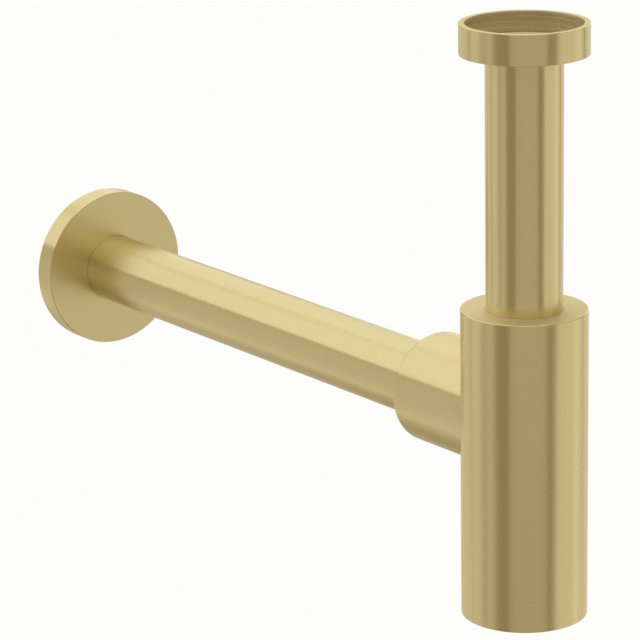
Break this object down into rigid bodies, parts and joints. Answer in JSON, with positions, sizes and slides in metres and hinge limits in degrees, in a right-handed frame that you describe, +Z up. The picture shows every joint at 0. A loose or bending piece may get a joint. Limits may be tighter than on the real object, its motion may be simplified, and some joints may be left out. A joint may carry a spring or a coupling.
{
  "type": "sink trap",
  "caption": "Round bottle trap in brushed brass: threaded inlet nut, dip tube, bottle with cleaning plug, side outlet pipe and wall flange. Keeps a water seal under a sink.",
  "frame": {"origin": "on the inlet axis, at the face of the inlet washer, where the sink's waste lands", "axes": "+Z up along the inlet tube, +Y along the outlet pipe towards the wall"},
  "size_m": [0.0748, 0.3687, 0.2521],
  "materials": {
    "brushed_brass": "brushed",
    "black_rubber": "matt",
    "white_plastic": "matt"
  },
  "bodies": {
    "inlet_nut": {"inlet_nut": "brushed_brass"},
    "washer": {"inlet_washer": "white_plastic"},
    "inlet_tube": {"inlet_tube": "brushed_brass", "inlet_collar": "brushed_brass"},
    "cap_seal": {"cap_seal": "black_rubber"},
    "bottle": {"bottle": "brushed_brass"},
    "cap_slip_ring": {"cap_slip_ring": "white_plastic"},
    "cap_nut": {"cap_nut": "brushed_brass"},
    "base_o_ring": {"base_o_ring": "black_rubber"},
    "base_plug": {"base_plug": "brushed_brass"},
    "outlet_slip_ring": {"outlet_slip_ring": "white_plastic"},
    "outlet_nut": {"outlet_nut": "brushed_brass"},
    "outlet_seal": {"outlet_seal": "black_rubber"},
    "outlet_pipe": {"outlet_pipe": "brushed_brass"},
    "flange": {"wall_flange": "brushed_brass", "flange_grip_ring": "black_rubber"}
  },
  "joints": [
    {"name": "inlet_nut_drop", "type": "slide", "parent": "inlet_nut", "child": "washer", "axis": [0, 0, 1], "range_m": [0, 0.085]},
    {"name": "inlet_nut_turn", "type": "hinge", "parent": "washer", "child": "inlet_tube", "pos_m": [0, 0, 0], "axis": [0, 0, 1], "continuous": true},
    {"name": "bottle_height", "type": "slide", "parent": "inlet_tube", "child": "cap_seal", "axis": [0, 0, 1], "range_m": [-0.04, 0.01]},
    {"name": "bottle_swivel", "type": "hinge", "parent": "cap_seal", "child": "bottle", "pos_m": [0, 0, 0], "axis": [0, 0, 1], "continuous": true},
    {"name": "cap_nut_rise", "type": "slide", "parent": "bottle", "child": "cap_slip_ring", "axis": [0, 0, 1], "range_m": [0, 0.0045]},
    {"name": "cap_nut_turn", "type": "hinge", "parent": "cap_slip_ring", "child": "cap_nut", "pos_m": [0, 0, 0], "axis": [0, 0, 1], "range_deg": [0, 1080]},
    {"name": "base_plug_drop", "type": "slide", "parent": "bottle", "child": "base_o_ring", "axis": [0, 0, -1], "range_m": [0, 0.006]},
    {"name": "base_plug_turn", "type": "hinge", "parent": "base_o_ring", "child": "base_plug", "pos_m": [0, 0, 0], "axis": [0, 0, -1], "range_deg": [0, 1440]},
    {"name": "outlet_nut_back", "type": "slide", "parent": "bottle", "child": "outlet_slip_ring", "axis": [0, 1, 0], "range_m": [0, 0.006]},
    {"name": "outlet_nut_turn", "type": "hinge", "parent": "outlet_slip_ring", "child": "outlet_nut", "pos_m": [0, 0, -0.1583], "axis": [0, 1, 0], "range_deg": [0, 1440]},
    {"name": "outlet_pipe_turn", "type": "hinge", "parent": "bottle", "child": "outlet_seal", "pos_m": [0, 0, -0.1583], "axis": [0, 1, 0], "continuous": true},
    {"name": "outlet_pipe_slide", "type": "slide", "parent": "outlet_seal", "child": "outlet_pipe", "axis": [0, 1, 0], "range_m": [-0.015, 0.01]},
    {"name": "flange_slide", "type": "slide", "parent": "outlet_pipe", "child": "flange", "axis": [0, 1, 0], "range_m": [-0.225, 0.02]}
  ],
  "couplings": [
    {"joint": "cap_nut_rise", "follows": "cap_nut_turn", "m_per_rad": 0.00023873},
    {"joint": "base_plug_drop", "follows": "base_plug_turn", "m_per_rad": 0.00023873},
    {"joint": "outlet_nut_back", "follows": "outlet_nut_turn", "m_per_rad": 0.00023873}
  ]
}
